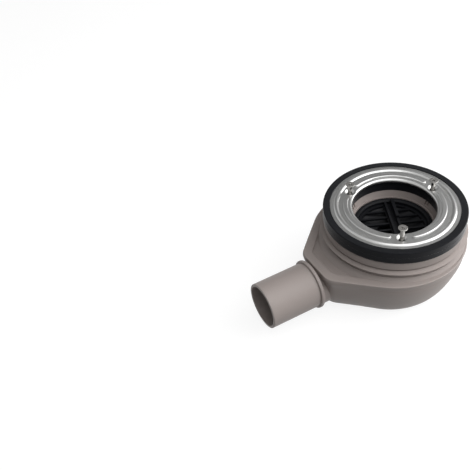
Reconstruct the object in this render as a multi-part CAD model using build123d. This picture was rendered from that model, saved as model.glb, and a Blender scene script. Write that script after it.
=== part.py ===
"""Shower trap with a round inlet, a clamped tray gasket and a level outlet spigot.

Millimetres, +Z up. The inlet axis is the Z axis, z = 0 is the flat underside of the bowl,
and the outlet points along +X.
"""
import os
from math import acos, atan2, cos, hypot, radians, sin

from build123d import *

# Outlet spigot
OUTLET_R = 20.0
OUTLET_WALL = 2.2
OUTLET_Z = 28.0
SPIGOT_LENGTH = 45.3
NECK_STEP = 2.5
NECK_DROP = 3.8
NECK_WALL = 2.2
COLLAR_STEP = 1.8
COLLAR_GAP = 3.3
COLLAR_LENGTH = 3.2
COLLAR_ROUND = 1.0
BORE_LAP = 0.4
END_ROUND = 0.5

# Radii, each one a step from the one before it: bore, mouth, screws, flange, gasket, rings, deck, bowl edge
BORE_R = 34.0
LEDGE_WIDTH = 3.2
BORE_WALL = 3.8
MOUTH_LEDGE = 1.0
MOUTH_FLARE = 3.2
OPENING_STEP = 1.0
SCREW_EDGE = 3.8
FLANGE_WIDTH = 19.0
GASKET_RIM = 6.3
GASKET_TAPER = 0.8
RING_INSET = 0.9
SEAT_LIP = 4.0
UPPER_GROOVE = 1.4
RING_STEP = 3.1
LOWER_GROOVE = 2.9
WELD_WIDTH = 4.2
DECK_INSET = 2.3
DECK_FOOT = 4.65
EDGE_STEP = 1.95

# Heights, each one a step up from the one before it
EDGE_Z = 46.7
DECK_RISE = 3.2
LOWER_GROOVE_HEIGHT = 4.1
LOWER_RING_HEIGHT = 2.2
UPPER_GROOVE_HEIGHT = 1.2
UPPER_RING_HEIGHT = 8.1
SEAT_DEPTH = 3.3
CLAMP_HEIGHT = 13.8

# Body shell and its nose
WALL = 2.6
FLOOR = 2.8
BODY_X = 4.3
NOSE_REACH = 9.5
NOSE_HALF = 26.9
NOSE_CORNER = 14.0
NOSE_WALL = 3.0
NECK_ROOT = 14.0
EDGE_ROUND = 0.9
RIM_WIDTH = 8.2
RIM_DEPTH = 2.0
RIM_BEVEL = 0.8

# Neck ring
RING_ROUND = 0.6
SKIRT_FIT = 0.2
SKIRT_WALL = 2.2
SKIRT_LENGTH = 4.2
PLATE = 3.0
FLARE_DEPTH = 5.6
BORE_DEPTH = 16.2
LEDGE = 3.0

# Screws and threaded inserts
SCREW_COUNT = 3
SCREW_FIRST = 60.0
SCREW_R = 2.0
SCREW_FIT = 0.4
SCREW_PROUD = (8.6, 6.0, 6.0)
SCREW_LENGTH = 32.0
HEAD_R = 3.8
HEAD_CONE = 1.8
HEAD_EDGE = 0.5
SCREW_TIP = 0.6
CROSS_LENGTH = 4.4
CROSS_WIDTH = 0.9
CROSS_DEPTH = 1.4
BOSS_WALL = 2.05
BOSS_LENGTH = 15.0
BOSS_FLOOR = 2.6
NOTCH_WIDTH = 1.3
NOTCH_DEPTH = 1.5
NOTCH_HEIGHT = 3.4
NOTCH_SIDE = 1.4
NUT_R = 3.1
NUT_LENGTH = 8.0
NUT_FIT = 0.05
THREAD_FIT = 0.1

# Clamp flange
SHEET = 0.9
LIP_ROUND = 2.4
LIP_STRAIGHT = 0.8
BEAD_EDGE = 5.1
BEAD_HALF = 2.3
BEAD_HEIGHT = 1.2
BEAD_ROUND = 1.1
BEAD_GAP = 15.0
DISH_R = 4.4
DISH_DEPTH = 2.6

# Gasket
GASKET_PROUD = 0.5
GASKET_FLARE = 0.8
GASKET_LAND = 7.0
GASKET_STEP = 5.0
GASKET_FIT = 0.2
FLANGE_FIT = 0.3
GASKET_ROUND = 1.2

# Removable insert
INSERT_FIT = 0.6
INSERT_HEIGHT = 10.0
INSERT_RIM = 2.0
INSERT_BEVEL = 1.4
INSERT_WALL = 3.2
INSERT_SKIRT = 4.0
GRATE_DEPTH = 4.0
GRATE = 2.0
SLOT_WIDTH = 6.2
SLOT_PITCH = 8.2
SLOT_ROWS = 3
SLOT_MARGIN = 2.5
SPINE_TURN = 65.0
SPINE_GAP = 6.0
SPINE_WIDTH = 2.0
SPINE_HEIGHT = 3.0
GRIP_WIDTH = 2.6
GRIP_HEIGHT = 5.5
GRIP_END = -7.0
SNAP = 0.8
SNAP_HEIGHT = 1.2
SEAL_RISE = 2.4
SEAL_R = 1.1
SEAL_FIT = 0.15

# Dip tube and cup under the insert
DIP_FIT = 0.2
DIP_FLANGE = 1.6
DIP_R = 15.0
DIP_WALL = 1.8
DIP_CONE = 4.0
DIP_GAP = 6.0
CUP_R = 26.0
CUP_WALL = 2.0
CUP_GAP = 4.0
CUP_FLOOR = 2.0
CUP_FOOT = 2.2
CUP_FOOT_INSET = 4.0
FIN_COUNT = 3
FIN_WIDTH = 2.0
FIN_RISE = 3.0
FIN_FIT = 0.2

# Radii that follow from the steps above
ledge_r = BORE_R - LEDGE_WIDTH
bore_wall_r = BORE_R + BORE_WALL
mouth_r = BORE_R + MOUTH_FLARE
opening_r = BORE_R + OPENING_STEP
screw_circle_r = mouth_r + SCREW_EDGE
flange_r = opening_r + FLANGE_WIDTH
gasket_r = flange_r + GASKET_RIM
gasket_foot_r = gasket_r - GASKET_TAPER
upper_ring_r = gasket_r - RING_INSET
seat_lip_r = upper_ring_r - SEAT_LIP
upper_groove_r = upper_ring_r - UPPER_GROOVE
lower_ring_r = upper_ring_r + RING_STEP
lower_groove_r = lower_ring_r - LOWER_GROOVE
mouth_hole_r = lower_groove_r - WELD_WIDTH
deck_r = lower_ring_r - DECK_INSET
deck_foot_r = deck_r + DECK_FOOT
edge_r = deck_foot_r + EDGE_STEP
far_out = 4 * edge_r

# Heights that follow
deck_top = EDGE_Z + DECK_RISE
lower_ring_z = deck_top + LOWER_GROOVE_HEIGHT
lower_ring_top = lower_ring_z + LOWER_RING_HEIGHT
upper_ring_z = lower_ring_top + UPPER_GROOVE_HEIGHT
seat_lip_z = upper_ring_z + UPPER_RING_HEIGHT
seat_z = seat_lip_z - SEAT_DEPTH
flange_top = seat_z + CLAMP_HEIGHT
sheet_z = flange_top - SHEET
gasket_top = flange_top + GASKET_PROUD
flare_z = seat_z - FLARE_DEPTH
ledge_top = seat_z - BORE_DEPTH

# Places along the outlet
nose_x = BODY_X + edge_r + NOSE_REACH
collar_x = nose_x + COLLAR_GAP
collar_end = collar_x + COLLAR_LENGTH
outlet_end = collar_end + SPIGOT_LENGTH


def drop_outline(r, tip_x, half_width, corner):
    """Circle about the body axis drawn out by two tangents to a blunt nose."""
    run = tip_x - corner - BODY_X
    rise = half_width - corner
    turn = atan2(rise, run) + acos((r - corner) / hypot(run, rise))
    near = (BODY_X + r * cos(turn), r * sin(turn))
    far = (tip_x - corner + corner * cos(turn), rise + corner * sin(turn))
    bend = (tip_x - corner + corner * cos(turn / 2), rise + corner * sin(turn / 2))
    edges = [
        ThreePointArc(near, (BODY_X - r, 0), (near[0], -near[1])),
        Line((near[0], -near[1]), (far[0], -far[1])),
        ThreePointArc((far[0], -far[1]), (bend[0], -bend[1]), (tip_x, -rise)),
        Line((tip_x, -rise), (tip_x, rise)),
        ThreePointArc((tip_x, rise), bend, far),
        Line(far, near),
    ]
    return make_face(edges)


def rim_outline(inset):
    """Outline of the bowl's edge, drawn in by an inset."""
    return drop_outline(edge_r - inset, nose_x - inset, NOSE_HALF - inset, NOSE_CORNER - inset)


def stack(levels):
    """Loft through outlines given as (z, radius, nose x, nose half width, corner)."""
    return loft([Pos(0, 0, z) * drop_outline(*rest) for z, *rest in levels])


def drawn_in(levels, r, tip_x, half_width):
    """Levels given by distances in from the widest outline, with the corner as a share of the half width."""
    return [(z, r - a, tip_x - b, half_width - c, share * (half_width - c)) for z, a, b, c, share in levels]


def turned(points):
    """Solid of revolution about Z from (radius, z) points."""
    profile = make_face(Polyline(*[(r, 0, z) for r, z in points], close=True))
    return revolve(profile, Axis.Z)


def disc(r, z0, z1):
    """Upright cylinder about Z from z0 to z1."""
    return Pos(0, 0, z0) * Cylinder(r, z1 - z0, align=(Align.CENTER, Align.CENTER, Align.MIN))


def along_x(r, x0, x1, z=OUTLET_Z):
    """Level cylinder from x0 to x1, on the outlet's axis or at another height."""
    rod = Cylinder(r, x1 - x0, align=(Align.CENTER, Align.CENTER, Align.MIN))
    return Pos(x0, 0, z) * Rot(0, 90, 0) * rod


def screw_spots():
    """Places of the clamp screws, each with its X axis pointing away from the inlet axis."""
    step = 360 / SCREW_COUNT
    return [Rot(0, 0, SCREW_FIRST + step * k) * Pos(screw_circle_r, 0, 0) for k in range(SCREW_COUNT)]


def bend_point(x, z, r):
    """Middle of the quarter bend about (x, z), on the inlet side."""
    return (x - r * cos(radians(45)), 0, z + r * sin(radians(45)))


def edges_at(part, z, tolerance=0.05):
    """Edges that lie flat at height z."""
    return [e for e in part.edges() if abs(e.bounding_box().min.Z - z) < tolerance
            and abs(e.bounding_box().max.Z - z) < tolerance]


os.makedirs("parts", exist_ok=True)

# The bowl and its hollow, level by level: height, how far the round, the nose and the nose's
# half width draw in from the widest outline, and the nose's corner radius as a share of that half width
pocket_z = EDGE_Z - RIM_DEPTH
hollow_top = pocket_z - WALL
BOWL_LEVELS = [
    (-1.0, 27.6, 36.0, 17.0, 0.808),
    (0.0, 22.2, 26.5, 15.2, 0.769),
    (1.4, 18.4, 19.5, 13.6, 0.752),
    (3.8, 15.4, 13.2, 11.2, 0.732),
    (7.8, 12.4, 8.2, 8.4, 0.703),
    (13.4, 9.4, 5.0, 5.6, 0.657),
    (20.4, 6.6, 3.2, 3.2, 0.591),
    (28.4, 4.0, 2.2, 1.6, 0.553),
    (EDGE_Z - 8.0, 1.8, 0.8, 0.5, 0.53),
    (EDGE_Z, 0.0, 0.0, 0.0, NOSE_CORNER / NOSE_HALF),
]
HOLLOW_LEVELS = [
    (FLOOR - 1.0, 26.8, 31.0, 15.0, 0.674),
    (FLOOR, 22.2, 23.6, 14.0, 0.707),
    (4.6, 17.4, 16.8, 12.0, 0.689),
    (8.2, 13.4, 10.4, 9.0, 0.644),
    (13.6, 9.8, 6.0, 6.0, 0.592),
    (20.4, 6.7, 3.6, 3.2, 0.531),
    (28.0, 4.1, 2.4, 1.6, 0.493),
    (hollow_top - 4.0, 2.4, 1.0, 0.6, 0.472),
    (hollow_top, 1.6, 0.6, 0.4, 0.468),
]

# Bowl, rim pocket and the round deck of the body
skin = stack(drawn_in(BOWL_LEVELS, edge_r, nose_x, NOSE_HALF)) - disc(far_out, -FLOOR, 0)
skin = fillet(edges_at(skin, EDGE_Z), EDGE_ROUND)
pocket = rim_outline(RIM_WIDTH)
skin -= Pos(0, 0, pocket_z) * extrude(pocket, 2 * RIM_DEPTH)
skin -= loft([Pos(0, 0, EDGE_Z - RIM_BEVEL) * pocket, Pos(0, 0, EDGE_Z) * rim_outline(RIM_WIDTH - RIM_BEVEL)])
deck_x = BODY_X / 3
deck = loft([Pos(deck_x, 0, pocket_z - 1.0) * Circle(deck_foot_r), Pos(0, 0, deck_top) * Circle(deck_r)])
deck &= Pos(0, 0, pocket_z - 1.0) * extrude(rim_outline(2 * EDGE_ROUND), deck_top - pocket_z + 1.0)
hollow = stack(drawn_in(HOLLOW_LEVELS, edge_r - WALL, nose_x - NOSE_WALL, NOSE_HALF - NOSE_WALL))
hollow -= disc(far_out, -FLOOR, FLOOR)
hollow += loft([
    Pos(BODY_X, 0, hollow_top - 1.0) * Circle(edge_r - 2 * WALL - EDGE_ROUND),
    Pos(0, 0, deck_top - WALL) * Circle(deck_r - WALL),
])
hollow += disc(mouth_hole_r, hollow_top - 1.0, deck_top + 1.0)

# Outlet: the neck, which lies lower than the spigot, the collar bead and the spigot, in one piece with the body
neck_r = OUTLET_R - NECK_STEP
neck_z = OUTLET_Z - NECK_DROP
collar = along_x(OUTLET_R + COLLAR_STEP, collar_x, collar_end)
collar = fillet(collar.edges().filter_by(GeomType.CIRCLE), COLLAR_ROUND)
spigot = along_x(OUTLET_R, collar_x + COLLAR_ROUND, outlet_end)
spigot = fillet(spigot.edges().filter_by(GeomType.CIRCLE).sort_by(Axis.X)[-1], END_ROUND)
bore_start = collar_x + OUTLET_WALL
neck = along_x(neck_r, nose_x - NECK_ROOT, bore_start, neck_z)
body = skin + deck + neck + collar + spigot - hollow
body -= along_x(neck_r - NECK_WALL, nose_x - NECK_ROOT - 1.0, bore_start + BORE_LAP, neck_z)
body -= along_x(OUTLET_R - OUTLET_WALL, bore_start, outlet_end + 1.0)
export_step(body, "parts/body.step")

# Neck ring, welded to the rim of the body's round mouth
skirt_r = mouth_hole_r - SKIRT_FIT
skirt_bottom = deck_top - SKIRT_LENGTH
neck_ring = turned([
    (lower_groove_r, deck_top), (lower_groove_r, lower_ring_z),
    (lower_ring_r - RING_ROUND, lower_ring_z), (lower_ring_r, lower_ring_z + RING_ROUND),
    (lower_ring_r, lower_ring_top - 2 * RING_ROUND), (upper_groove_r + RING_ROUND, lower_ring_top),
    (upper_groove_r, lower_ring_top), (upper_groove_r, upper_ring_z),
    (upper_ring_r - RING_ROUND, upper_ring_z), (upper_ring_r, upper_ring_z + RING_ROUND),
    (upper_ring_r, seat_lip_z - 2 * RING_ROUND), (upper_ring_r - 2 * RING_ROUND, seat_lip_z),
    (seat_lip_r, seat_lip_z), (seat_lip_r, seat_z), (mouth_r, seat_z),
    (BORE_R + MOUTH_LEDGE, flare_z), (BORE_R, flare_z), (BORE_R, ledge_top), (ledge_r, ledge_top),
    (ledge_r, ledge_top - LEDGE), (bore_wall_r, ledge_top - LEDGE), (bore_wall_r, seat_z - PLATE),
    (skirt_r - SKIRT_WALL, seat_z - PLATE), (skirt_r - SKIRT_WALL, skirt_bottom),
    (skirt_r, skirt_bottom), (skirt_r, deck_top),
])
boss_bottom = seat_z - BOSS_LENGTH
nut_hole_r = NUT_R + NUT_FIT
for spot in screw_spots():
    neck_ring += spot * disc(nut_hole_r + BOSS_WALL, boss_bottom, seat_z - PLATE / 2)
neck_ring -= turned([
    (0, ledge_top), (BORE_R, ledge_top), (BORE_R, flare_z), (BORE_R + MOUTH_LEDGE, flare_z),
    (mouth_r, seat_z), (0, seat_z),
])
notch = Box(2 * NOTCH_DEPTH, NOTCH_WIDTH, NOTCH_HEIGHT)
for spot in screw_spots():
    neck_ring -= spot * disc(SCREW_R + SCREW_FIT, boss_bottom + BOSS_FLOOR, seat_z + 1.0)
    neck_ring -= spot * disc(nut_hole_r, seat_z - NUT_LENGTH, seat_z + 1.0)
    for side in (-NOTCH_SIDE, NOTCH_SIDE):
        neck_ring -= spot * Pos(mouth_r - screw_circle_r, side, seat_z - NOTCH_HEIGHT / 2) * notch
export_step(neck_ring, "parts/neck_ring.step")

# Tray gasket
gasket_step_z = flange_top - GASKET_STEP
gasket = turned([
    (mouth_r, seat_z), (seat_lip_r - GASKET_FIT, seat_z), (seat_lip_r - GASKET_FIT, seat_lip_z),
    (gasket_foot_r, seat_lip_z), (gasket_r, seat_lip_z + GASKET_FLARE), (gasket_r, gasket_top),
    (flange_r + FLANGE_FIT, gasket_top), (flange_r + FLANGE_FIT, sheet_z),
    (flange_r - GASKET_LAND, sheet_z), (flange_r - GASKET_LAND, gasket_step_z), (mouth_r, gasket_step_z),
])
outer_top = [e for e in edges_at(gasket, gasket_top) if abs(e.bounding_box().max.X - gasket_r) < 0.1]
gasket = fillet(outer_top, GASKET_ROUND)
for spot in screw_spots():
    gasket -= spot * disc(SCREW_R + SCREW_FIT, seat_z - 1.0, gasket_step_z + 1.0)
export_step(gasket, "parts/tray_gasket.step")

# Clamp flange, pressed from one sheet: a rolled lip, a whole outer bead, and three inner bead
# lengths on the screws' circle with a dish for each screw between them
lip_z = flange_top - LIP_ROUND
lip_end = lip_z - LIP_STRAIGHT
lip_r = opening_r + SHEET
bend_x = opening_r + LIP_ROUND
bead_x = flange_r - BEAD_EDGE
bead_r = (BEAD_HALF**2 + BEAD_HEIGHT**2) / (2 * BEAD_HEIGHT)
bead_z = flange_top + BEAD_HEIGHT - bead_r
bead_in = ((bead_r - SHEET) ** 2 - (sheet_z - bead_z) ** 2) ** 0.5
section = make_face([
    Line((opening_r, 0, lip_end), (opening_r, 0, lip_z)),
    ThreePointArc((opening_r, 0, lip_z), bend_point(bend_x, lip_z, LIP_ROUND), (bend_x, 0, flange_top)),
    Line((bend_x, 0, flange_top), (bead_x - BEAD_HALF, 0, flange_top)),
    ThreePointArc((bead_x - BEAD_HALF, 0, flange_top), (bead_x, 0, flange_top + BEAD_HEIGHT),
                  (bead_x + BEAD_HALF, 0, flange_top)),
    Line((bead_x + BEAD_HALF, 0, flange_top), (flange_r, 0, flange_top)),
    Line((flange_r, 0, flange_top), (flange_r, 0, sheet_z)),
    Line((flange_r, 0, sheet_z), (bead_x + bead_in, 0, sheet_z)),
    ThreePointArc((bead_x + bead_in, 0, sheet_z), (bead_x, 0, sheet_z + BEAD_HEIGHT),
                  (bead_x - bead_in, 0, sheet_z)),
    Line((bead_x - bead_in, 0, sheet_z), (bend_x, 0, sheet_z)),
    ThreePointArc((bend_x, 0, sheet_z), bend_point(bend_x, lip_z, LIP_ROUND - SHEET), (lip_r, 0, lip_z)),
    Line((lip_r, 0, lip_z), (lip_r, 0, lip_end)),
    Line((lip_r, 0, lip_end), (opening_r, 0, lip_end)),
])
flange = revolve(section, Axis.Z)
for k in range(SCREW_COUNT):
    start = SCREW_FIRST + 360 / SCREW_COUNT * k + BEAD_GAP
    path = CenterArc((0, 0), screw_circle_r, start, 360 / SCREW_COUNT - 2 * BEAD_GAP)
    bead = Pos(0, 0, sheet_z) * extrude(SlotArc(path, 2 * BEAD_HALF), SHEET + BEAD_HEIGHT)
    flange += fillet(edges_at(bead, flange_top + BEAD_HEIGHT), BEAD_ROUND)
    flange -= Pos(0, 0, sheet_z) * extrude(SlotArc(path, 2 * (BEAD_HALF - SHEET)), BEAD_HEIGHT)
dish_r = (DISH_R**2 + DISH_DEPTH**2) / (2 * DISH_DEPTH)
dish_z = flange_top - DISH_DEPTH + dish_r
above = disc(far_out, flange_top, flange_top + 3 * dish_r)
for spot in screw_spots():
    flange += spot * (Pos(0, 0, dish_z) * Sphere(dish_r + SHEET)) - above
    flange -= spot * (Pos(0, 0, dish_z) * Sphere(dish_r))
    flange -= spot * disc(SCREW_R + SCREW_FIT, seat_z, flange_top)
export_step(flange, "parts/clamp_flange.step")

# Clamp screws, each run part way into a threaded insert in the neck ring
head_top = flange_top + HEAD_CONE + HEAD_EDGE
screw_end = flange_top - SCREW_LENGTH
screw = turned([
    (0, screw_end), (SCREW_R - SCREW_TIP, screw_end), (SCREW_R, screw_end + SCREW_TIP),
    (SCREW_R, flange_top), (HEAD_R, flange_top + HEAD_CONE), (HEAD_R, head_top), (0, head_top),
])
for turn in (0, 90):
    bar = Box(CROSS_LENGTH, CROSS_WIDTH, 2 * CROSS_DEPTH)
    screw -= Pos(0, 0, head_top) * Rot(0, 0, turn) * bar
nut = disc(NUT_R, seat_z - NUT_LENGTH, seat_z) - disc(SCREW_R + THREAD_FIT, boss_bottom, seat_z + 1.0)
for k, (spot, proud) in enumerate(zip(screw_spots(), SCREW_PROUD), 1):
    export_step(spot * Pos(0, 0, proud) * screw, f"parts/screw_{k}.step")
    export_step(spot * nut, f"parts/threaded_insert_{k}.step")

# Removable insert: rim, slotted floor, spine and grip in one piece
insert_r = BORE_R - INSERT_FIT
insert_in = insert_r - INSERT_WALL
insert_top = ledge_top + INSERT_HEIGHT
skirt_in = insert_r - INSERT_SKIRT
grate_top = insert_top - GRATE_DEPTH
grate_low = grate_top - GRATE
seal_z = ledge_top + SEAL_RISE
seal_ring_r = BORE_R - SEAL_FIT - SEAL_R
groove_r = seal_ring_r - SEAL_R - SEAL_FIT
groove_half = SEAL_R + SEAL_FIT
insert = turned([
    (0, grate_low), (skirt_in, grate_low), (skirt_in, ledge_top + SNAP_HEIGHT),
    (skirt_in - SNAP, ledge_top + SNAP_HEIGHT), (skirt_in - SNAP, ledge_top), (insert_r, ledge_top),
    (insert_r, seal_z - groove_half), (groove_r, seal_z - groove_half), (groove_r, seal_z + groove_half),
    (insert_r, seal_z + groove_half), (insert_r, insert_top), (insert_r - INSERT_RIM, insert_top),
    (insert_in, insert_top - INSERT_BEVEL), (insert_in, grate_top), (0, grate_top),
])
spine_mid = grate_top + SPINE_HEIGHT / 2
near_bar = Pos(0, 0, spine_mid) * Box(2 * insert_in, SPINE_WIDTH, SPINE_HEIGHT)
far_bar = Pos(0, SPINE_GAP, spine_mid) * Box(2 * insert_in, SPINE_WIDTH, SPINE_HEIGHT)
grip = Box(GRIP_END + insert_in, GRIP_WIDTH, GRIP_HEIGHT)
grip = Pos((GRIP_END - insert_in) / 2, SPINE_GAP, grate_top + GRIP_HEIGHT / 2) * grip
inside = disc(insert_in + INSERT_RIM / 2, grate_low, grate_top + GRIP_HEIGHT + 1.0)
insert += Rot(0, 0, SPINE_TURN) * ((near_bar + far_bar + grip) & inside)
slot_reach = insert_in - SLOT_MARGIN
slot_area = disc(slot_reach, grate_low - 1.0, grate_top + 1.0)
near_row = Pos(0, -slot_reach / 2 - SPINE_WIDTH, grate_top) * Box(SLOT_WIDTH, slot_reach, 4 * GRATE)
far_row = Pos(0, SPINE_GAP + slot_reach / 2 + SPINE_WIDTH, grate_top) * Box(SLOT_WIDTH, slot_reach, 4 * GRATE)
for row in range(-SLOT_ROWS, SLOT_ROWS + 1):
    slots = Pos(row * SLOT_PITCH, 0, 0) * (near_row + far_row) & slot_area
    insert -= Rot(0, 0, SPINE_TURN) * slots
export_step(insert, "parts/strainer_insert.step")
seal = Pos(0, 0, seal_z) * Torus(seal_ring_r, SEAL_R)
export_step(seal, "parts/insert_seal.step")

# Dip tube snapped under the insert, and the cup it dips into
dip_flange_r = skirt_in - DIP_FIT
dip_cone_r = dip_flange_r - SNAP - DIP_FIT
dip_cone_z = ledge_top - DIP_CONE
dip_in = DIP_R - DIP_WALL
cup_z = FLOOR + CUP_FOOT
dip_bottom = cup_z + CUP_FLOOR + DIP_GAP
dip_tube = turned([
    (0, grate_low), (dip_flange_r, grate_low), (dip_flange_r, grate_low - DIP_FLANGE),
    (dip_cone_r, grate_low - DIP_FLANGE), (DIP_R, dip_cone_z), (DIP_R, dip_bottom), (0, dip_bottom),
])
dip_tube -= turned([
    (0, grate_low + 1.0), (dip_flange_r - DIP_WALL, grate_low + 1.0), (dip_flange_r - DIP_WALL, grate_low),
    (dip_in, dip_cone_z + DIP_WALL), (dip_in, dip_bottom - 1.0), (0, dip_bottom - 1.0),
])
export_step(dip_tube, "parts/dip_tube.step")

cup_top = dip_cone_z - CUP_GAP
cup_in = CUP_R - CUP_WALL
foot_r = CUP_R - CUP_FOOT_INSET
cup = disc(CUP_R, cup_z, cup_top) - disc(cup_in, cup_z + CUP_FLOOR, cup_top + 1.0)
cup += disc(foot_r, FLOOR, cup_z) - disc(foot_r - CUP_WALL, 0, cup_z)
fin_in = DIP_R + FIN_FIT
fin_out = CUP_R - CUP_WALL / 2
fin_bottom = dip_bottom + FIN_RISE
fin = Box(fin_out - fin_in, FIN_WIDTH, cup_top - fin_bottom)
fin = Pos((fin_in + fin_out) / 2, 0, (fin_bottom + cup_top) / 2) * fin
for k in range(FIN_COUNT):
    cup += Rot(0, 0, 360 / FIN_COUNT * k) * fin
export_step(cup, "parts/seal_cup.step")
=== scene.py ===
"""Shower trap: finishes, threaded screws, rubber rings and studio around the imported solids.

Metres, +Z up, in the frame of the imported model: the inlet axis is Z and the outlet points along +X.
"""
from __future__ import annotations

import functools
import logging
import math
from dataclasses import dataclass
from enum import Enum
from typing import Any, Iterable, Sequence

import bpy
from mathutils import Matrix, Vector

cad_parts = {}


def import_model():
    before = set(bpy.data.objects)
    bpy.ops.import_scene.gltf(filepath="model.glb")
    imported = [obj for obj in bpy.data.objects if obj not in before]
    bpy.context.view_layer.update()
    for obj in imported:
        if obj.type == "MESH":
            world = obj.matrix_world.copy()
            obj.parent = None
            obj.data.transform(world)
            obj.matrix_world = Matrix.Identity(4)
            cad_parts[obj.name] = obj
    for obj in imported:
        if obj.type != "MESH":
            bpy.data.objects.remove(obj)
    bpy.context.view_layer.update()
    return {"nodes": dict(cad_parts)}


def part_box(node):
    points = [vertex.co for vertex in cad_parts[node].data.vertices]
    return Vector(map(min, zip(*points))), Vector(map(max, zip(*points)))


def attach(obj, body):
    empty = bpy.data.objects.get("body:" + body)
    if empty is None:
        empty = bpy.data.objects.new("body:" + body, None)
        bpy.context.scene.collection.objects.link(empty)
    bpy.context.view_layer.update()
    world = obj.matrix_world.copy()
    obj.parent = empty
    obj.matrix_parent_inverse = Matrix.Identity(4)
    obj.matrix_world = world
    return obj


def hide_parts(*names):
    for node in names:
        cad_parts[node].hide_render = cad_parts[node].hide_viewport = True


LOG = logging.getLogger("shower_trap")
MM = 0.001
MERGE = 0.001 * MM
BEVEL_FROM = 30.0
Colour = tuple[float, float, float]
Place = tuple[float, float, float]
Point = tuple[float, float]


class Slot(Enum):
    """The record's material slots."""

    BODY = "body_plastic"
    GASKET = "gasket_rubber"
    FLANGE = "pressed_steel"
    SCREW = "screw_steel"
    BRASS = "insert_brass"
    INSERT = "insert_plastic"
    SEAL = "seal_rubber"


class Op(Enum):
    """Math node operations that socket arithmetic uses."""

    ADD = "ADD"
    SUBTRACT = "SUBTRACT"
    MULTIPLY = "MULTIPLY"
    DIVIDE = "DIVIDE"
    LESS = "LESS_THAN"
    GREATER = "GREATER_THAN"
    MINIMUM = "MINIMUM"
    ABSOLUTE = "ABSOLUTE"


def linear(red: int, green: int, blue: int) -> Colour:
    """Turns a colour written as 0 to 255 display values into linear light.

    Args:
        red: Display red.
        green: Display green.
        blue: Display blue.

    Returns:
        The linear colour.
    """
    def channel(value: int) -> float:
        share = value / 255
        return share / 12.92 if share <= 0.04045 else ((share + 0.055) / 1.055) ** 2.4

    return channel(red), channel(green), channel(blue)


class Sock:
    """A shader socket that adds Math nodes when it is used in arithmetic."""

    def __init__(self, graph: Graph, socket: bpy.types.NodeSocket) -> None:
        """Keeps the graph and the output socket."""
        self.graph = graph
        self.socket = socket

    def _with(self, op: Op, first: Any, second: Any) -> Sock:
        """Adds one Math node.

        Args:
            op: The operation.
            first: Left operand, a socket or a number.
            second: Right operand, a socket or a number.

        Returns:
            The result's socket.
        """
        return self.graph.node("ShaderNodeMath", {"operation": op.value}, {0: first, 1: second})

    def __add__(self, other: Any) -> Sock:
        """self + other."""
        return self._with(Op.ADD, self, other)

    def __radd__(self, other: Any) -> Sock:
        """other + self."""
        return self._with(Op.ADD, other, self)

    def __sub__(self, other: Any) -> Sock:
        """self - other."""
        return self._with(Op.SUBTRACT, self, other)

    def __rsub__(self, other: Any) -> Sock:
        """other - self."""
        return self._with(Op.SUBTRACT, other, self)

    def __mul__(self, other: Any) -> Sock:
        """self * other."""
        return self._with(Op.MULTIPLY, self, other)

    def __truediv__(self, other: Any) -> Sock:
        """self / other."""
        return self._with(Op.DIVIDE, self, other)

    def __lt__(self, other: Any) -> Sock:
        """1 where self < other."""
        return self._with(Op.LESS, self, other)

    def __gt__(self, other: Any) -> Sock:
        """1 where self > other."""
        return self._with(Op.GREATER, self, other)

    def __abs__(self) -> Sock:
        """Size of self without its sign."""
        return self._with(Op.ABSOLUTE, self, 0.0)

    def at_most(self, limit: float) -> Sock:
        """The smaller of self and a limit."""
        return self._with(Op.MINIMUM, self, limit)


class Graph:
    """A node tree with one way to add a node."""

    def __init__(self, tree: bpy.types.NodeTree) -> None:
        """Empties the tree and keeps it."""
        self.tree = tree
        tree.nodes.clear()

    def node(
        self,
        kind: str,
        settings: dict[str, Any] | None = None,
        sockets: dict[Any, Any] | None = None,
        output: Any = 0,
    ) -> Sock:
        """Adds any node.

        Args:
            kind: The node's type name.
            settings: Properties to set first.
            sockets: Values or Sock links by input name or index.
            output: Name or index of the output to return.

        Returns:
            The chosen output, wrapped.
        """
        made = self.tree.nodes.new(kind)
        for key, value in (settings or {}).items():
            setattr(made, key, value)
        for key, value in (sockets or {}).items():
            if isinstance(value, Sock):
                self.tree.links.new(value.socket, made.inputs[key])
            else:
                made.inputs[key].default_value = value
        return Sock(self, made.outputs[output]) if made.outputs else Sock(self, made.inputs[0])

    def place(self, scale: float = 1.0, turn: Sequence[float] = (0, 0, 0),
              stretch: Sequence[float] = (1, 1, 1)) -> Sock:
        """Object coordinates, turned and scaled for a pattern.

        Args:
            scale: Pattern scale, per metre.
            turn: Rotation in radians.
            stretch: Extra scale by axis.

        Returns:
            The coordinate vector.
        """
        here = self.node("ShaderNodeTexCoord", output="Object")
        return self.node("ShaderNodeMapping", {"vector_type": "POINT"}, {
            "Vector": here, "Rotation": tuple(turn), "Scale": tuple(scale * s for s in stretch)})

    def noise(self, vector: Sock, detail: float = 2.0, roughness: float = 0.5) -> Sock:
        """Fractal noise from 0 to 1 on a coordinate that is already scaled."""
        return self.node("ShaderNodeTexNoise", {}, {
            "Vector": vector, "Scale": 1.0, "Detail": detail, "Roughness": roughness}, "Fac")

    def mix(self, share: Any, first: Any, second: Any) -> Sock:
        """Mixes two colours by a share."""
        return self.node("ShaderNodeMix", {"data_type": "RGBA"}, {0: share, 6: first, 7: second}, 2)

    def bump(self, height: Sock, depth: float) -> Sock:
        """Normal that follows a height given from 0 to 1.

        Args:
            height: The height.
            depth: Depth of the relief in metres.

        Returns:
            The bent normal.
        """
        return self.node("ShaderNodeBump", {}, {
            "Strength": 1.0, "Distance": depth, "Height": height}, "Normal")

    def finish(self, sockets: dict[str, Any]) -> None:
        """Ends the tree with a Principled shader and the surface output."""
        surface = self.node("ShaderNodeBsdfPrincipled", {}, sockets, "BSDF")
        self.node("ShaderNodeOutputMaterial", {}, {"Surface": surface})


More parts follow.
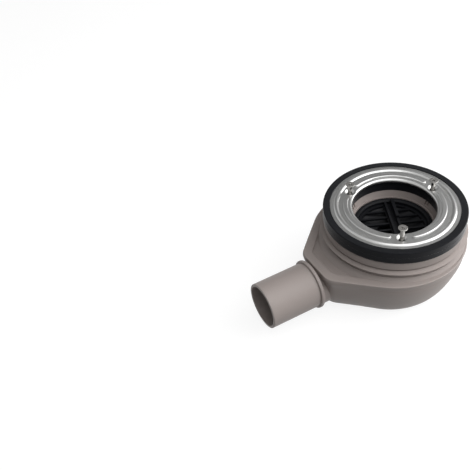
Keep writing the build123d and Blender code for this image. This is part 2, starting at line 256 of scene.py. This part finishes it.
def rgba(colour: Colour, gain: float = 1.0) -> tuple[float, float, float, float]:
    """A colour with gain and full alpha, as a socket takes it."""
    return colour[0] * gain, colour[1] * gain, colour[2] * gain, 1.0


@dataclass(frozen=True)
class Finish:
    """What every finish has: a name and a base colour."""

    name: str
    colour: Colour

    @functools.cache
    def material(self) -> bpy.types.Material:
        """Makes the finish's material, once.

        Returns:
            The material with its node tree filled.
        """
        made = bpy.data.materials.new(self.name)
        made.use_nodes = True
        self.paint(Graph(made.node_tree))
        made.diffuse_color = rgba(self.colour)
        return made

    def paint(self, graph: Graph) -> None:
        """Fills the node tree."""
        raise NotImplementedError


@dataclass(frozen=True)
class MouldedPlastic(Finish):
    """Matt injection-moulded plastic with a fine spark-eroded grain."""

    roughness: float = 0.46
    shine: float = 0.28
    grain: float = 0.35 * MM
    grain_depth: float = 0.006 * MM
    cloud: float = 30 * MM
    drift: float = 0.035
    fleck_scale: float = 0.3
    fleck_share: float = 0.25
    grain_gloss: float = 0.12
    cloud_gloss: float = 0.06

    def paint(self, graph: Graph) -> None:
        """Cloudy colour, even matt sheen and grain relief."""
        cloud = graph.noise(graph.place(1 / self.cloud), 3.0)
        grain = graph.noise(graph.place(1 / self.grain), 2.0, 0.6)
        fleck = graph.noise(graph.place(self.fleck_scale / self.grain), 1.0)
        share = cloud * (1 - self.fleck_share) + fleck * self.fleck_share
        colour = graph.mix(share, rgba(self.colour, 1 - self.drift), rgba(self.colour, 1 + self.drift))
        gloss = (grain - 0.5) * self.grain_gloss
        graph.finish({
            "Base Color": self.with_painted_shade(graph, colour),
            "Roughness": self.roughness + gloss + (cloud - 0.5) * self.cloud_gloss,
            "Specular IOR Level": self.shine,
            "Normal": graph.bump(self.relief(graph, grain), self.grain_depth),
        })

    def with_painted_shade(self, graph: Graph, colour: Sock) -> Sock:
        """The colour with the piece's painted shade on it; a plain piece has none."""
        return colour

    def relief(self, graph: Graph, grain: Sock) -> Sock:
        """The height that bends the light; a plain piece has the grain alone."""
        return grain


@dataclass(frozen=True)
class SeamedPlastic(MouldedPlastic):
    """Moulded plastic with the fine seam where the bowl's two tool halves met, its colour darkened there as
    painted shade.

    The seam's depth is counted in depths of the grain.
    """

    seam_z: float = 40.2 * MM
    seam_half: float = 0.35 * MM
    seam_end_x: float = 62 * MM
    seam_depth: float = 14.0
    seam_shade: float = 0.45
    seam_share: float = 0.3

    def _seam(self, graph: Graph) -> Sock:
        """1 on the seam's middle line, falling to 0 at its sides."""
        here = graph.node("ShaderNodeTexCoord", output="Object")
        along = graph.node("ShaderNodeSeparateXYZ", {}, {"Vector": here}, "X")
        up = graph.node("ShaderNodeSeparateXYZ", {}, {"Vector": here}, "Z")
        away = abs(up - self.seam_z) / self.seam_half
        return (1 - away.at_most(1.0)) * (along < self.seam_end_x)

    def with_painted_shade(self, graph: Graph, colour: Sock) -> Sock:
        """The colour, a little darker in the seam: painted shade in its groove."""
        return graph.mix(self._seam(graph) * self.seam_share, colour, rgba(self.colour, self.seam_shade))

    def relief(self, graph: Graph, grain: Sock) -> Sock:
        """The grain with the seam cut into it."""
        return grain - self._seam(graph) * self.seam_depth


@dataclass(frozen=True)
class Rubber(Finish):
    """Moulded rubber with a soft satin face and a faint dry bloom, pale where it is seen edge-on."""

    roughness: float = 0.6
    bend: float = 1.16
    bloom: float = 1.7
    veil: float = 1.0
    veil_spread: float = 0.3
    grain: float = 0.6 * MM
    grain_depth: float = 0.012 * MM
    patch: float = 14 * MM
    patch_from: float = 0.42
    patch_gain: float = 1.6
    grain_gloss: float = 0.18
    patch_gloss: float = 0.1

    def paint(self, graph: Graph) -> None:
        """Dark rubber, patchy bloom and fine grain."""
        patch = graph.noise(graph.place(1 / self.patch), 4.0, 0.6)
        grain = graph.noise(graph.place(1 / self.grain), 3.0, 0.65)
        share = (patch - self.patch_from) * self.patch_gain
        colour = graph.mix(share, rgba(self.colour), rgba(self.colour, self.bloom))
        gloss = (grain - 0.5) * self.grain_gloss
        graph.finish({
            "Base Color": colour,
            "Roughness": self.roughness + gloss + (patch - 0.5) * self.patch_gloss,
            "IOR": self.bend,
            "Sheen Weight": self.veil,
            "Sheen Roughness": self.veil_spread,
            "Normal": graph.bump(grain, self.grain_depth),
        })


@dataclass(frozen=True)
class RolledSteel(Finish):
    """Stainless sheet with rolling grain along one direction and faint handling marks."""

    roughness: float = 0.31
    grain: float = 0.16 * MM
    grain_run: float = 9 * MM
    grain_depth: float = 0.0012 * MM
    grain_turn: float = 35.0
    cloud: float = 11 * MM
    drift: float = 0.06
    grain_gloss: float = 0.1
    cloud_gloss: float = 0.08

    def paint(self, graph: Graph) -> None:
        """Grain lines along one way and a cloudy polish."""
        stretch = (1 / self.grain_run, 1 / self.grain, 1 / self.grain)
        lines = graph.noise(graph.place(1.0, (0, 0, math.radians(self.grain_turn)), stretch), 2.0)
        cloud = graph.noise(graph.place(1 / self.cloud), 3.0)
        colour = graph.mix(cloud, rgba(self.colour, 1 - self.drift), rgba(self.colour, 1 + self.drift))
        gloss = (lines - 0.5) * self.grain_gloss
        graph.finish({
            "Base Color": colour,
            "Metallic": 1.0,
            "Roughness": self.roughness + gloss + (cloud - 0.5) * self.cloud_gloss,
            "Normal": graph.bump(lines, self.grain_depth),
        })


@dataclass(frozen=True)
class TurnedMetal(Finish):
    """Bright turned or rolled metal with a little wear."""

    roughness: float = 0.2
    blotch: float = 1.2 * MM
    dull: float = 0.9
    bright: float = 1.08
    blotch_gloss: float = 0.16

    def paint(self, graph: Graph) -> None:
        """Even metal with faint blotches."""
        blotch = graph.noise(graph.place(1 / self.blotch), 3.0, 0.6)
        colour = graph.mix(blotch, rgba(self.colour, self.dull), rgba(self.colour, self.bright))
        graph.finish({
            "Base Color": colour,
            "Metallic": 1.0,
            "Roughness": self.roughness + (blotch - 0.5) * self.blotch_gloss,
        })


BODY_PLASTIC = SeamedPlastic("warm_grey_plastic", linear(150, 141, 137))
GASKET_RUBBER = Rubber("black_rubber", linear(18, 19, 22))
PRESSED_STEEL = RolledSteel("pressed_stainless", linear(174, 174, 173))
SCREW_STEEL = TurnedMetal("bright_steel", linear(176, 174, 171), 0.16)
INSERT_BRASS = TurnedMetal("brass", linear(196, 162, 96), 0.28)
INSERT_PLASTIC = MouldedPlastic("black_plastic", linear(16, 17, 20), 0.5, 0.15, 0.3 * MM, 0.005 * MM)
SEAL_RUBBER = Rubber("ring_rubber", linear(22, 22, 24), 0.42)


def pick(*pieces: bpy.types.Object) -> None:
    """Selects these objects alone, with the first one active."""
    bpy.ops.object.select_all(action="DESELECT")
    for piece in pieces:
        piece.select_set(True)
    bpy.context.view_layer.objects.active = pieces[0]


def apply_modifier(piece: bpy.types.Object, kind: str, **settings: Any) -> None:
    """Adds a modifier to a piece and applies it.

    Args:
        piece: The object.
        kind: The modifier's type.
        **settings: Its properties.
    """
    pick(piece)
    made = piece.modifiers.new(kind.lower(), kind)
    for key, value in settings.items():
        setattr(made, key, value)
    bpy.ops.object.modifier_apply(modifier=made.name)


def soften(piece: bpy.types.Object, width: float, segments: int = 2, smooth: float = 35.0) -> None:
    """Rounds a piece's sharp edges and shades what is left smooth.

    Args:
        piece: The object.
        width: Width of the rounding in metres.
        segments: Faces across the rounding.
        smooth: Edges sharper than this many degrees stay crisp.
    """
    apply_modifier(piece, "BEVEL", width=width, segments=segments, limit_method="ANGLE",
                   angle_limit=math.radians(BEVEL_FROM), use_clamp_overlap=True)
    pick(piece)
    bpy.ops.object.shade_smooth_by_angle(angle=math.radians(smooth))
    apply_modifier(piece, "WEIGHTED_NORMAL", keep_sharp=True, weight=100)


def hand_over(piece: bpy.types.Object, node: str, finish: Finish) -> None:
    """Finishes a new piece and lets it stand for a CAD node.

    Args:
        piece: The new piece, at the origin.
        node: The CAD node that it replaces.
        finish: What it is made of.
    """
    piece.name = f"{node}_piece"
    piece.data.materials.clear()
    piece.data.materials.append(finish.material())
    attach(piece, "root")
    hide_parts(node)
    LOG.info("%s modelled, %d faces, in %s", node, len(piece.data.polygons), finish.name)


@dataclass
class Lathe:
    """A turned shape: a ring of edges that is drawn along a section of (radius, height) points."""

    name: str
    section: Sequence[Point]
    sides: int
    is_ring: bool = False

    def build(self) -> bpy.types.Object:
        """Draws the section round.

        Returns:
            The closed piece: a ring, or a shape with a flat face at each end.
        """
        bpy.ops.object.select_all(action="DESELECT")
        radius, height = self.section[0]
        bpy.ops.mesh.primitive_circle_add(vertices=self.sides, radius=radius, location=(0, 0, height))
        piece = bpy.context.object
        piece.name = self.name
        bpy.ops.object.transform_apply()
        bpy.ops.object.mode_set(mode="EDIT")
        bpy.ops.mesh.select_all(action="SELECT")
        for next_radius, next_height in [*self.section[1:], *(self.section[:1] if self.is_ring else ())]:
            bpy.ops.mesh.extrude_edges_move(TRANSFORM_OT_translate={"value": (0, 0, next_height - height)})
            grow = next_radius / radius
            bpy.ops.transform.resize(value=(grow, grow, 1), center_override=(0, 0, next_height))
            radius, height = next_radius, next_height
        bpy.ops.mesh.select_all(action="SELECT")
        if self.is_ring:
            bpy.ops.mesh.remove_doubles(threshold=MERGE)
        else:
            bpy.ops.mesh.fill_holes(sides=0)
        bpy.ops.mesh.select_all(action="SELECT")
        bpy.ops.mesh.normals_make_consistent(inside=False)
        bpy.ops.object.mode_set(mode="OBJECT")
        return piece


def arc(centre: Point, radius: float, start: float, end: float, steps: int) -> list[Point]:
    """Points on an arc of a section.

    Args:
        centre: Middle of the arc, as radius and height.
        radius: The arc's radius.
        start: First angle in degrees, from the outward direction upwards.
        end: Last angle in degrees.
        steps: Number of lengths.

    Returns:
        The points from start to end.
    """
    turns = [math.radians(start + (end - start) * k / steps) for k in range(steps + 1)]
    return [(centre[0] + radius * math.cos(t), centre[1] + radius * math.sin(t)) for t in turns]


@dataclass
class TrayGasket:
    """Moulded rubber ring under the shower tray, with a rim that stands round the steel."""

    node: str = "tray_gasket"
    bore_r: float = 37.2 * MM
    land_r: float = 47.0 * MM
    rim_r: float = 54.3 * MM
    plug_r: float = 55.2 * MM
    foot_r: float = 59.5 * MM
    plug_height: float = 3.3 * MM
    land_height: float = 8.8 * MM
    flare: float = 0.35 * MM
    rim_height: float = 1.4 * MM
    rim_round: float = 0.8 * MM
    flash: float = 0.12 * MM
    slack: float = 0.02 * MM
    hole_circle: float = 41.0 * MM
    hole_r: float = 2.4 * MM
    hole_turns: tuple[float, ...] = (60.0, 180.0, 300.0)
    drill_length: float = 40 * MM
    drill_sides: int = 32
    edge_round: float = 0.35 * MM
    rim_steps: int = 5
    sides: int = 192

    def build(self) -> None:
        """Turns the ring, cuts the screw holes and rounds the edges."""
        low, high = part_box(self.node)
        ring = Lathe(self.node, self._section(low[2], high[2], high[0]), self.sides, True).build()
        for turn in self.hole_turns:
            self._cut_hole(ring, math.radians(turn), (low[2] + high[2]) / 2)
        soften(ring, self.edge_round)
        hand_over(ring, self.node, GASKET_RUBBER)

    def _section(self, low: float, high: float, out: float) -> list[Point]:
        """The ring's section from its foot inside, round the outside and back.

        Args:
            low: Height of the foot.
            high: Height of the rim.
            out: Outer radius.

        Returns:
            The points, with the mould's flash line on the outer wall.
        """
        wall = out - self.flash
        flare_z = low + self.plug_height + self.flare
        flash_z = (flare_z + high) / 2
        return [
            (self.bore_r + self.slack, low + self.slack), (self.plug_r - self.slack, low + self.slack),
            (self.plug_r - self.slack, low + self.plug_height + self.slack),
            (self.foot_r, low + self.plug_height + self.slack), (wall, flare_z),
            (wall, flash_z - self.flash), (out, flash_z), (wall, flash_z + self.flash),
            *arc((wall - self.rim_round, high - self.rim_round), self.rim_round, 0, 90, self.rim_steps),
            (self.rim_r + self.slack, high), (self.rim_r + self.slack, high - self.rim_height - self.slack),
            (self.land_r, high - self.rim_height - self.slack), (self.land_r, low + self.land_height),
            (self.bore_r + self.slack, low + self.land_height),
        ]

    def _cut_hole(self, ring: bpy.types.Object, turn: float, middle: float) -> None:
        """Cuts one screw hole down through the ring.

        Args:
            ring: The rubber.
            turn: The hole's direction about the inlet axis.
            middle: A height inside the rubber.
        """
        bpy.ops.object.select_all(action="DESELECT")
        place = (self.hole_circle * math.cos(turn), self.hole_circle * math.sin(turn), middle)
        bpy.ops.mesh.primitive_cylinder_add(vertices=self.drill_sides, radius=self.hole_r,
                                            depth=self.drill_length, location=place)
        drill = bpy.context.object
        apply_modifier(ring, "BOOLEAN", operation="DIFFERENCE", solver="EXACT", object=drill)
        bpy.data.objects.remove(drill)


@dataclass
class SealRing:
    """Rubber ring that seals the insert in its bore, with the flash of its mould."""

    node: str = "insert_seal"
    flash: float = 0.06 * MM
    sides: int = 160
    steps: int = 24
    smooth: float = 40.0

    def build(self) -> None:
        """Turns the ring from a round section with a small ridge outside and inside."""
        low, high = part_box(self.node)
        cord = (high[2] - low[2]) / 2
        centre = (high[0] - cord, (low[2] + high[2]) / 2)
        section = arc(centre, cord - self.flash, 0, 360, self.steps)[:-1]
        for ridge, side in ((0, 1), (self.steps // 2, -1)):
            section[ridge] = (centre[0] + side * cord, centre[1])
        ring = Lathe(self.node, section, self.sides, True).build()
        pick(ring)
        bpy.ops.object.shade_smooth_by_angle(angle=math.radians(self.smooth))
        hand_over(ring, self.node, SEAL_RUBBER)


@dataclass
class ClampScrews:
    """Countersunk screws with a plain neck, a rolled thread and a cross recess.

    The thread's profile is a list of steps out and up, in shares of its depth and its pitch.
    """

    nodes: Sequence[str] = ("screw_1", "screw_2", "screw_3")
    turns: Sequence[float] = (20.0, 75.0, 48.0)
    shank_r: float = 1.98 * MM
    plain_r: float = 1.88 * MM
    plain: float = 14.0 * MM
    pitch: float = 0.7 * MM
    thread_depth: float = 0.43 * MM
    length: float = 32.0 * MM
    head_r: float = 3.78 * MM
    head_cone: float = 1.8 * MM
    head_edge: float = 0.5 * MM
    head_round: float = 0.06 * MM
    edge: float = 0.12 * MM
    lap: float = 0.4 * MM
    recess_length: float = 4.4 * MM
    recess_width: float = 0.95 * MM
    recess_depth: float = 1.4 * MM
    recess_taper: float = 0.6
    profile: Sequence[Point] = ((0.0, 0.12), (1.0, 0.34), (0.0, 0.16), (-1.0, 0.38))
    head_sides: int = 64
    thread_sides: int = 28
    smooth: float = 25.0

    def build(self) -> None:
        """Models one screw and sets a copy at each place."""
        pattern = self._head()
        shank = self._shank()
        pick(pattern, shank)
        bpy.ops.object.join()
        for node, turn in zip(self.nodes, self.turns):
            low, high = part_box(node)
            pick(pattern)
            bpy.ops.object.duplicate(linked=False)
            screw = bpy.context.object
            screw.rotation_euler = (0, 0, math.radians(turn))
            screw.location = ((low[0] + high[0]) / 2, (low[1] + high[1]) / 2,
                              high[2] - self.head_cone - self.head_edge)
            bpy.ops.object.transform_apply()
            hand_over(screw, node, SCREW_STEEL)
        bpy.data.objects.remove(pattern)

    def _head(self) -> bpy.types.Object:
        """Countersunk head with its underside at height 0, and the plain neck under it.

        Returns:
            The head with the cross cut into it.
        """
        top = self.head_cone + self.head_edge
        head = Lathe("screw_head", [
            (self.plain_r, -self.plain), (self.plain_r, 0.0), (self.head_r, self.head_cone),
            (self.head_r, top - self.edge), (self.head_r - self.edge, top),
        ], self.head_sides).build()
        recess = (self.recess_length, self.recess_width, 2 * self.recess_depth)
        for turn in (0.0, 90.0):
            bpy.ops.object.select_all(action="DESELECT")
            bpy.ops.mesh.primitive_cube_add(size=1.0, location=(0, 0, top), scale=recess,
                                            rotation=(0, 0, math.radians(turn)))
            bar = bpy.context.object
            bpy.ops.object.transform_apply()
            self._taper(bar, top)
            apply_modifier(head, "BOOLEAN", operation="DIFFERENCE", solver="EXACT", object=bar)
            bpy.data.objects.remove(bar)
        soften(head, self.head_round)
        return head

    def _taper(self, bar: bpy.types.Object, top: float) -> None:
        """Narrows the lower face of a recess bar.

        Args:
            bar: The bar.
            top: Height of the bar's middle.
        """
        bpy.ops.object.mode_set(mode="EDIT")
        bpy.ops.mesh.select_all(action="DESELECT")
        bpy.ops.object.mode_set(mode="OBJECT")
        for face in bar.data.polygons:
            face.select = face.normal.z < -0.5
        bpy.ops.object.mode_set(mode="EDIT")
        bpy.ops.mesh.select_mode(type="FACE")
        bpy.ops.transform.resize(value=(self.recess_taper, self.recess_taper, 1),
                                 center_override=(0, 0, top))
        bpy.ops.mesh.select_mode(type="VERT")
        bpy.ops.object.mode_set(mode="OBJECT")

    def _shank(self) -> bpy.types.Object:
        """Threaded shank: one turn's outline drawn up a helix and cut flat at both ends.

        Returns:
            The closed shank, its top inside the plain neck.
        """
        bpy.ops.object.select_all(action="DESELECT")
        bpy.ops.mesh.primitive_plane_add(size=self.pitch)
        shank = bpy.context.object
        shank.name = "screw_shank"
        bpy.ops.object.mode_set(mode="EDIT")
        bpy.ops.mesh.select_all(action="SELECT")
        bpy.ops.mesh.merge(type="CENTER")
        root = self.shank_r - self.thread_depth
        bpy.ops.transform.translate(value=(root, 0, -self.length - 2 * self.pitch))
        for out, up in self.profile:
            bpy.ops.mesh.extrude_vertices_move(TRANSFORM_OT_translate={
                "value": (out * self.thread_depth, 0, up * self.pitch)})
        bpy.ops.object.mode_set(mode="OBJECT")
        turns = math.ceil(self.length / self.pitch) + 4
        apply_modifier(shank, "SCREW", axis="Z", angle=math.tau, screw_offset=self.pitch, iterations=turns,
                       steps=self.thread_sides, render_steps=self.thread_sides)
        bpy.ops.object.mode_set(mode="EDIT")
        bpy.ops.mesh.select_all(action="SELECT")
        bpy.ops.mesh.remove_doubles(threshold=MERGE)
        bpy.ops.mesh.bisect(plane_co=(0, 0, -self.length), plane_no=(0, 0, 1), use_fill=True,
                            clear_inner=True)
        bpy.ops.mesh.select_all(action="SELECT")
        bpy.ops.mesh.bisect(plane_co=(0, 0, self.lap - self.plain), plane_no=(0, 0, 1), use_fill=True,
                            clear_outer=True)
        bpy.ops.mesh.select_all(action="SELECT")
        bpy.ops.mesh.normals_make_consistent(inside=False)
        bpy.ops.object.mode_set(mode="OBJECT")
        pick(shank)
        bpy.ops.object.shade_smooth_by_angle(angle=math.radians(self.smooth))
        return shank


@dataclass
class DressedNodes:
    """CAD nodes that keep their shape and take one finish."""

    nodes: Sequence[str]
    finish: Finish
    slot: Slot

    def dress(self, shapes: dict[str, bpy.types.Object]) -> None:
        """Gives each node the finish.

        Args:
            shapes: The CAD nodes by name.
        """
        material = self.finish.material()
        for name in self.nodes:
            shape = shapes[name]
            shape.data.materials.clear()
            shape.data.materials.append(material)
            LOG.info("%s dressed in %s", name, self.finish.name)


@dataclass
class SoftBox:
    """A square area lamp that looks at the trap."""

    name: str
    place: Place
    aim: Place
    side: float
    power: float

    def build(self) -> None:
        """Adds the lamp."""
        lamp = bpy.data.lights.new(self.name, "AREA")
        lamp.size = self.side
        lamp.energy = self.power
        made = bpy.data.objects.new(self.name, lamp)
        made.location = self.place
        made.rotation_mode = "QUATERNION"
        made.rotation_quaternion = (Vector(self.aim) - Vector(self.place)).to_track_quat("-Z", "Y")
        bpy.context.scene.collection.objects.link(made)


@dataclass
class Studio:
    """Pale floor, soft light and the photograph's camera."""

    floor_half: float = 6.0
    floor_drop: float = 0.2 * MM
    floor_bounce: Colour = (0.25, 0.25, 0.25)
    floor_shade: Colour = (0.2, 0.2, 0.2)
    floor_white: float = 0.86
    world_light: float = 0.22
    card_grey: Colour = (0.58, 0.58, 0.58)
    card_towards: Place = (-0.30, -0.68, 0.67)
    card_away: float = 0.95
    card_size: float = 0.9
    aim: Place = (0.02, 0.0, 0.045)
    camera_place: Place = (0.297719, 0.334975, 0.449245)
    camera_look: Place = (-0.299574, -0.678086, -0.671159)
    camera_up: Place = (-0.374760, -0.563292, 0.736381)
    camera_lens: float = 51.318
    camera_sensor: float = 36.0
    camera_near: float = 0.01

    def build(self) -> None:
        """Makes floor, card, world, lamps and camera."""
        self._floor()
        self._card()
        self._world()
        for lamp in (
            SoftBox("top_box", (-0.17, 0.45, 1.1), self.aim, side=1.25, power=9.6),
            SoftBox("right_box", (-1.04, 0.54, 0.545), self.aim, side=1.55, power=24.5),
            SoftBox("front_box", (0.86, 0.77, 0.86), self.aim, side=1.2, power=0.7),
        ):
            lamp.build()
        self._camera()

    @staticmethod
    def _seen(graph: Graph) -> Sock:
        """1 for rays from the camera, and for those that a shiny or clear surface sends on."""
        names = ("Is Camera Ray", "Is Glossy Ray", "Is Transmission Ray")
        camera, glossy, through = (graph.node("ShaderNodeLightPath", output=name) for name in names)
        return camera + glossy + through > 0.5

    def _floor(self) -> None:
        """Pale floor that looks white, keeps a soft shadow and throws back a little light."""
        bpy.ops.object.select_all(action="DESELECT")
        bpy.ops.mesh.primitive_plane_add(size=2 * self.floor_half, location=(0, 0, -self.floor_drop))
        floor = bpy.context.object
        floor.name = "floor"
        material = bpy.data.materials.new("pale_floor")
        material.use_nodes = True
        graph = Graph(material.node_tree)
        glow = graph.node("ShaderNodeEmission", {}, {
            "Color": (1, 1, 1, 1), "Strength": self.floor_white}, "Emission")
        shade = graph.node("ShaderNodeBsdfDiffuse", {}, {"Color": rgba(self.floor_shade)}, "BSDF")
        white = graph.node("ShaderNodeAddShader", {}, {0: shade, 1: glow}, "Shader")
        bounce = graph.node("ShaderNodeBsdfDiffuse", {}, {"Color": rgba(self.floor_bounce)}, "BSDF")
        both = graph.node("ShaderNodeMixShader", {}, {0: self._seen(graph), 1: bounce, 2: white}, "Shader")
        graph.node("ShaderNodeOutputMaterial", {}, {"Surface": both})
        floor.data.materials.append(material)

    def _card(self) -> None:
        """Grey card above and behind, out of the picture, that the flat steel mirrors."""
        bpy.ops.object.select_all(action="DESELECT")
        towards = Vector(self.card_towards).normalized()
        bpy.ops.mesh.primitive_plane_add(size=self.card_size, location=towards * self.card_away,
                                         rotation=towards.to_track_quat("Z", "Y").to_euler())
        card = bpy.context.object
        card.name = "grey_card"
        material = bpy.data.materials.new("grey_card")
        material.use_nodes = True
        graph = Graph(material.node_tree)
        matt = graph.node("ShaderNodeBsdfDiffuse", {}, {"Color": rgba(self.card_grey)}, "BSDF")
        graph.node("ShaderNodeOutputMaterial", {}, {"Surface": matt})
        card.data.materials.append(material)

    def _world(self) -> None:
        """White to the eye and in reflections, softer as light."""
        world = bpy.data.worlds.new("studio")
        bpy.context.scene.world = world
        world.use_nodes = True
        graph = Graph(world.node_tree)
        strength = self.world_light + self._seen(graph) * (1.0 - self.world_light)
        sky = graph.node("ShaderNodeBackground", {}, {"Color": (1, 1, 1, 1), "Strength": strength})
        graph.node("ShaderNodeOutputWorld", {}, {"Surface": sky})

    def _camera(self) -> None:
        """Camera at the photograph's place, look and lens."""
        data = bpy.data.cameras.new("camera")
        data.lens = self.camera_lens
        data.sensor_width = self.camera_sensor
        data.clip_start = self.camera_near
        camera = bpy.data.objects.new("camera", data)
        look = Vector(self.camera_look).normalized()
        right = look.cross(Vector(self.camera_up)).normalized()
        turn = Matrix((right, right.cross(look), -look)).transposed()
        camera.matrix_world = Matrix.Translation(self.camera_place) @ turn.to_4x4()
        bpy.context.scene.collection.objects.link(camera)
        bpy.context.scene.camera = camera


def main() -> None:
    """Loads the frame, dresses it and sets up the studio."""
    logging.basicConfig(level=logging.INFO, format="%(name)s: %(message)s")
    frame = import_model()
    shapes = frame["nodes"]
    for group in (
        DressedNodes(("body", "neck_ring"), BODY_PLASTIC, Slot.BODY),
        DressedNodes(("clamp_flange",), PRESSED_STEEL, Slot.FLANGE),
        DressedNodes([f"threaded_insert_{k}" for k in (1, 2, 3)], INSERT_BRASS, Slot.BRASS),
        DressedNodes(("strainer_insert", "dip_tube", "seal_cup"), INSERT_PLASTIC, Slot.INSERT),
    ):
        group.dress(shapes)
    for made in (TrayGasket(), SealRing(), ClampScrews()):
        made.build()
    Studio().build()
    bpy.context.scene.view_settings.view_transform = "Standard"


if __name__ == "__main__":
    main()
